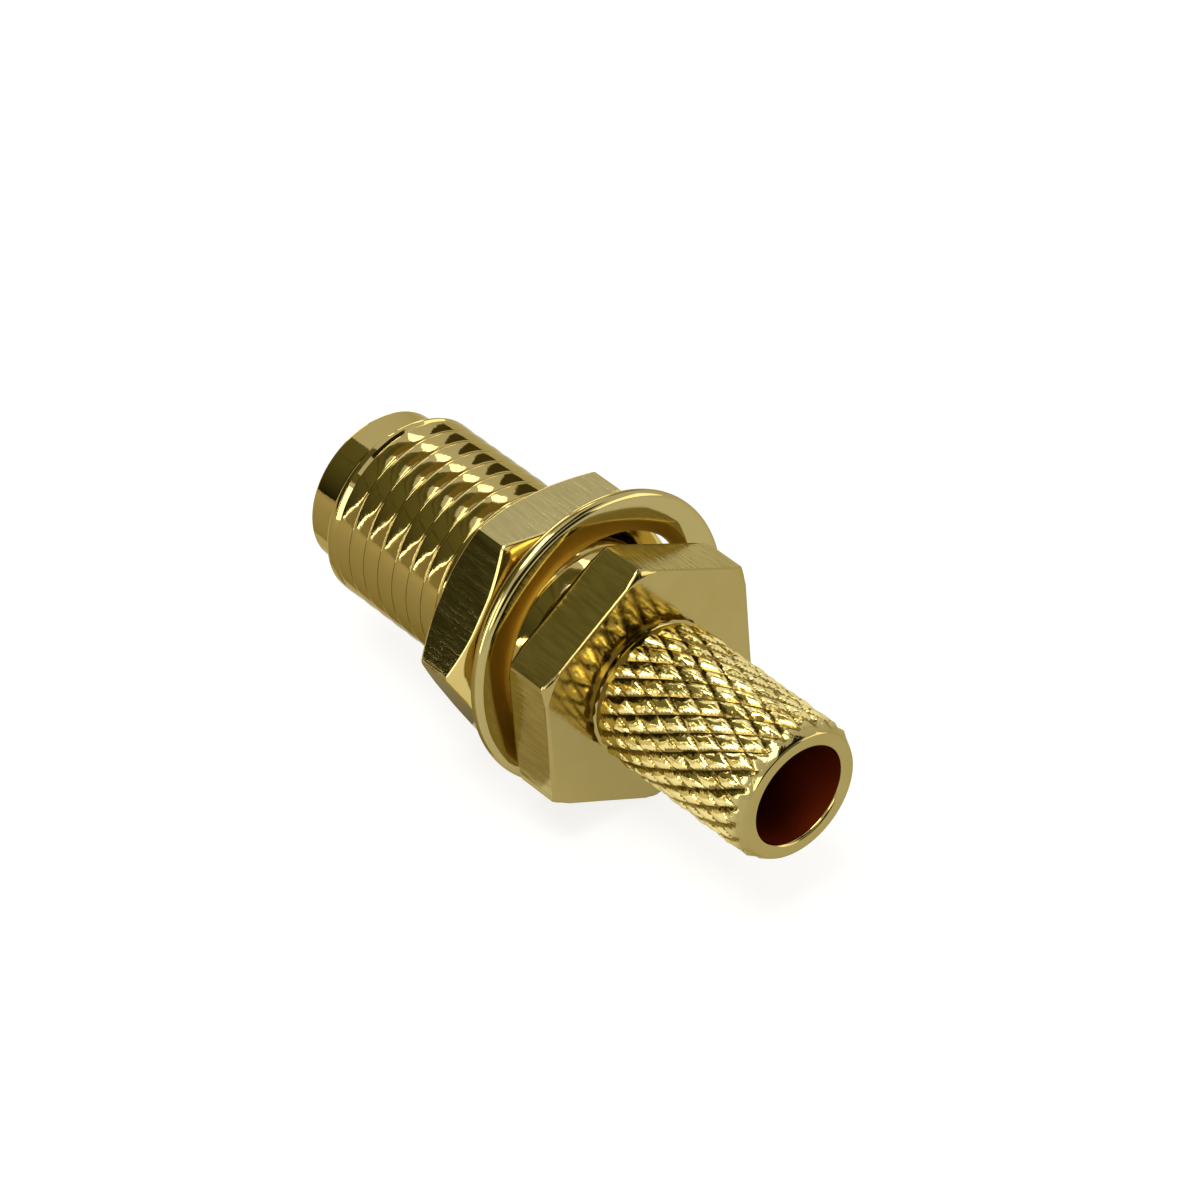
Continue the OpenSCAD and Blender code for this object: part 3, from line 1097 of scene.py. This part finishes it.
def panel_nut():
    skin = Skin(NUT_CORNER)
    from_x, to_x = nut_low.x, nut_high.x
    hexagon = hexagon_radius(skin.angles, NUT_CORNER, NUT_AF, CORNER_ROUND)
    face_radius = NUT_AF / math.sqrt(3) - NUT_CHAMFER / math.tan(HEX_CHAMFER)
    outside = hexagon_rings(skin, from_x, to_x, hexagon, face_radius, EDGE_ROUND)
    skin.stack(outside[FLATS], NUT_MILLED)
    skin.stack(outside[FRONT_FACE], NUT_FACED)
    skin.stack(outside[FRONT_CHAMFER], NUT_FACED)
    mouth_r = NUT_BORE_R + NUT_MOUTH
    inside = [skin.ring(to_x, mouth_r)]
    for row in range(1, NUT_THREAD_ROWS + 1):
        x = to_x - (to_x - from_x) * row / NUT_THREAD_ROWS
        inset = min(x - from_x, to_x - x)
        wave = 0.5 - 0.5 * np.cos(FULL_TURN * x / THREAD_PITCH - skin.angles)
        thread = NUT_BORE_R + NUT_THREAD_DEPTH * wave
        inside.append(skin.ring(x, np.maximum(thread, mouth_r - inset)))
    skin.stack(outside[BACK] + inside, NUT_FACED)
    skin.join(inside[-1], outside[0], NUT_FACED)
    return skin.to_object("hex_nut", NUT_FINISHES, SHARP_DEGREES)


nut = panel_nut()
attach(nut, "nut")
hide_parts("panel_nut")
print("nut from", round(nut_low.x, 2), "to", round(nut_high.x, 2), "mm")

# %% [markdown]
# The washer hangs loosely on the barrel and leans towards the nut. It is a ring with a rolled rim, drawn
# around its own axis and then leaned and lifted into its place, which is the middle of its solid's box.
# Its front face, which rubs on the nut, has the nut's brighter gold, which is painted light.

# %% Washer
WASHER_R = 4.94
WASHER_HOLE_R = 3.65
WASHER_T = 0.5
WASHER_SOFT = 0.06
WASHER_LEAN = math.radians(3.8)
WASHER_SHARP_DEGREES = 50
WASHER_PLATE, WASHER_FRONT = range(2)


def washer_ring():
    skin = Skin(0.0)
    half = WASHER_T / 2
    eased = EDGE_EASE * WASHER_SOFT
    rim_centre = WASHER_R - half
    rings = [
        skin.ring(-half, WASHER_HOLE_R + WASHER_SOFT),
        skin.ring(-half, rim_centre),
    ]
    for step in range(1, RIM_STEPS):
        angle = math.pi * step / RIM_STEPS
        rings.append(skin.ring(-half * math.cos(angle), rim_centre + half * math.sin(angle)))
    rings += [
        skin.ring(half, rim_centre),
        skin.ring(half, WASHER_HOLE_R + WASHER_SOFT),
        skin.ring(half - eased, WASHER_HOLE_R + eased),
        skin.ring(half - WASHER_SOFT, WASHER_HOLE_R),
        skin.ring(WASHER_SOFT - half, WASHER_HOLE_R),
        skin.ring(eased - half, WASHER_HOLE_R + eased),
    ]
    skin.stack(rings[:2], WASHER_FRONT)
    skin.stack(rings[1:], WASHER_PLATE)
    skin.join(rings[-1], rings[0], WASHER_PLATE)
    middle = (washer_low + washer_high) / 2
    placing = Matrix.Translation(middle) @ Matrix.Rotation(-WASHER_LEAN, 4, "Y")
    # the washer's front face takes the nut's painted-light gold
    return skin.to_object("rolled_washer", [washer_gold, nut_faced_lit_gold], WASHER_SHARP_DEGREES, placing)


washer = washer_ring()
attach(washer, "washer")
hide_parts("washer")
print("washer leans", round(math.degrees(WASHER_LEAN), 1), "degrees")

# %% [markdown]
# Inside the barrel sit the white insulator and the centre contact. Their solids have the right form, so
# they stay, and only get finishes: a soft, slightly waxy white with a faint mottle, and polished gold.

# %% Insulator and contact
WAXY_DEEP = (0.82, 0.80, 0.75, 1)
WAXY_PALE = (0.90, 0.89, 0.86, 1)
WAXY_ROUGHNESS = (0.35, 0.5)
WAXY_DEPTH = 0.3
WAXY_WEIGHT = 0.15
MOTTLE_GRAIN = 2500.0
MOTTLE_DETAIL = 3.0


def waxy_white():
    material, nodes, links = new_material("ptfe_white")
    shader = nodes["Principled BSDF"]
    shader.inputs["Subsurface Weight"].default_value = WAXY_WEIGHT
    shader.inputs["Subsurface Scale"].default_value = WAXY_DEPTH * MM
    mottle = noise(nodes, links, object_place(nodes), MOTTLE_GRAIN, MOTTLE_DETAIL)
    tint = colour_mix(nodes, WAXY_DEEP, WAXY_PALE)
    links.new(mottle, tint.inputs["Factor"])
    links.new(tint.outputs["Result"], shader.inputs["Base Color"])
    polish = map_range(nodes, 0.0, 1.0, to=WAXY_ROUGHNESS)
    links.new(mottle, polish.inputs["Value"])
    links.new(polish.outputs["Result"], shader.inputs["Roughness"])
    return material


def dress(node, material):
    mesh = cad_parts[node].data
    mesh.materials.clear()
    mesh.materials.append(material)


dress("insulator", waxy_white())
dress("centre_contact", contact_gold)
print("dressed", "insulator", "centre_contact")
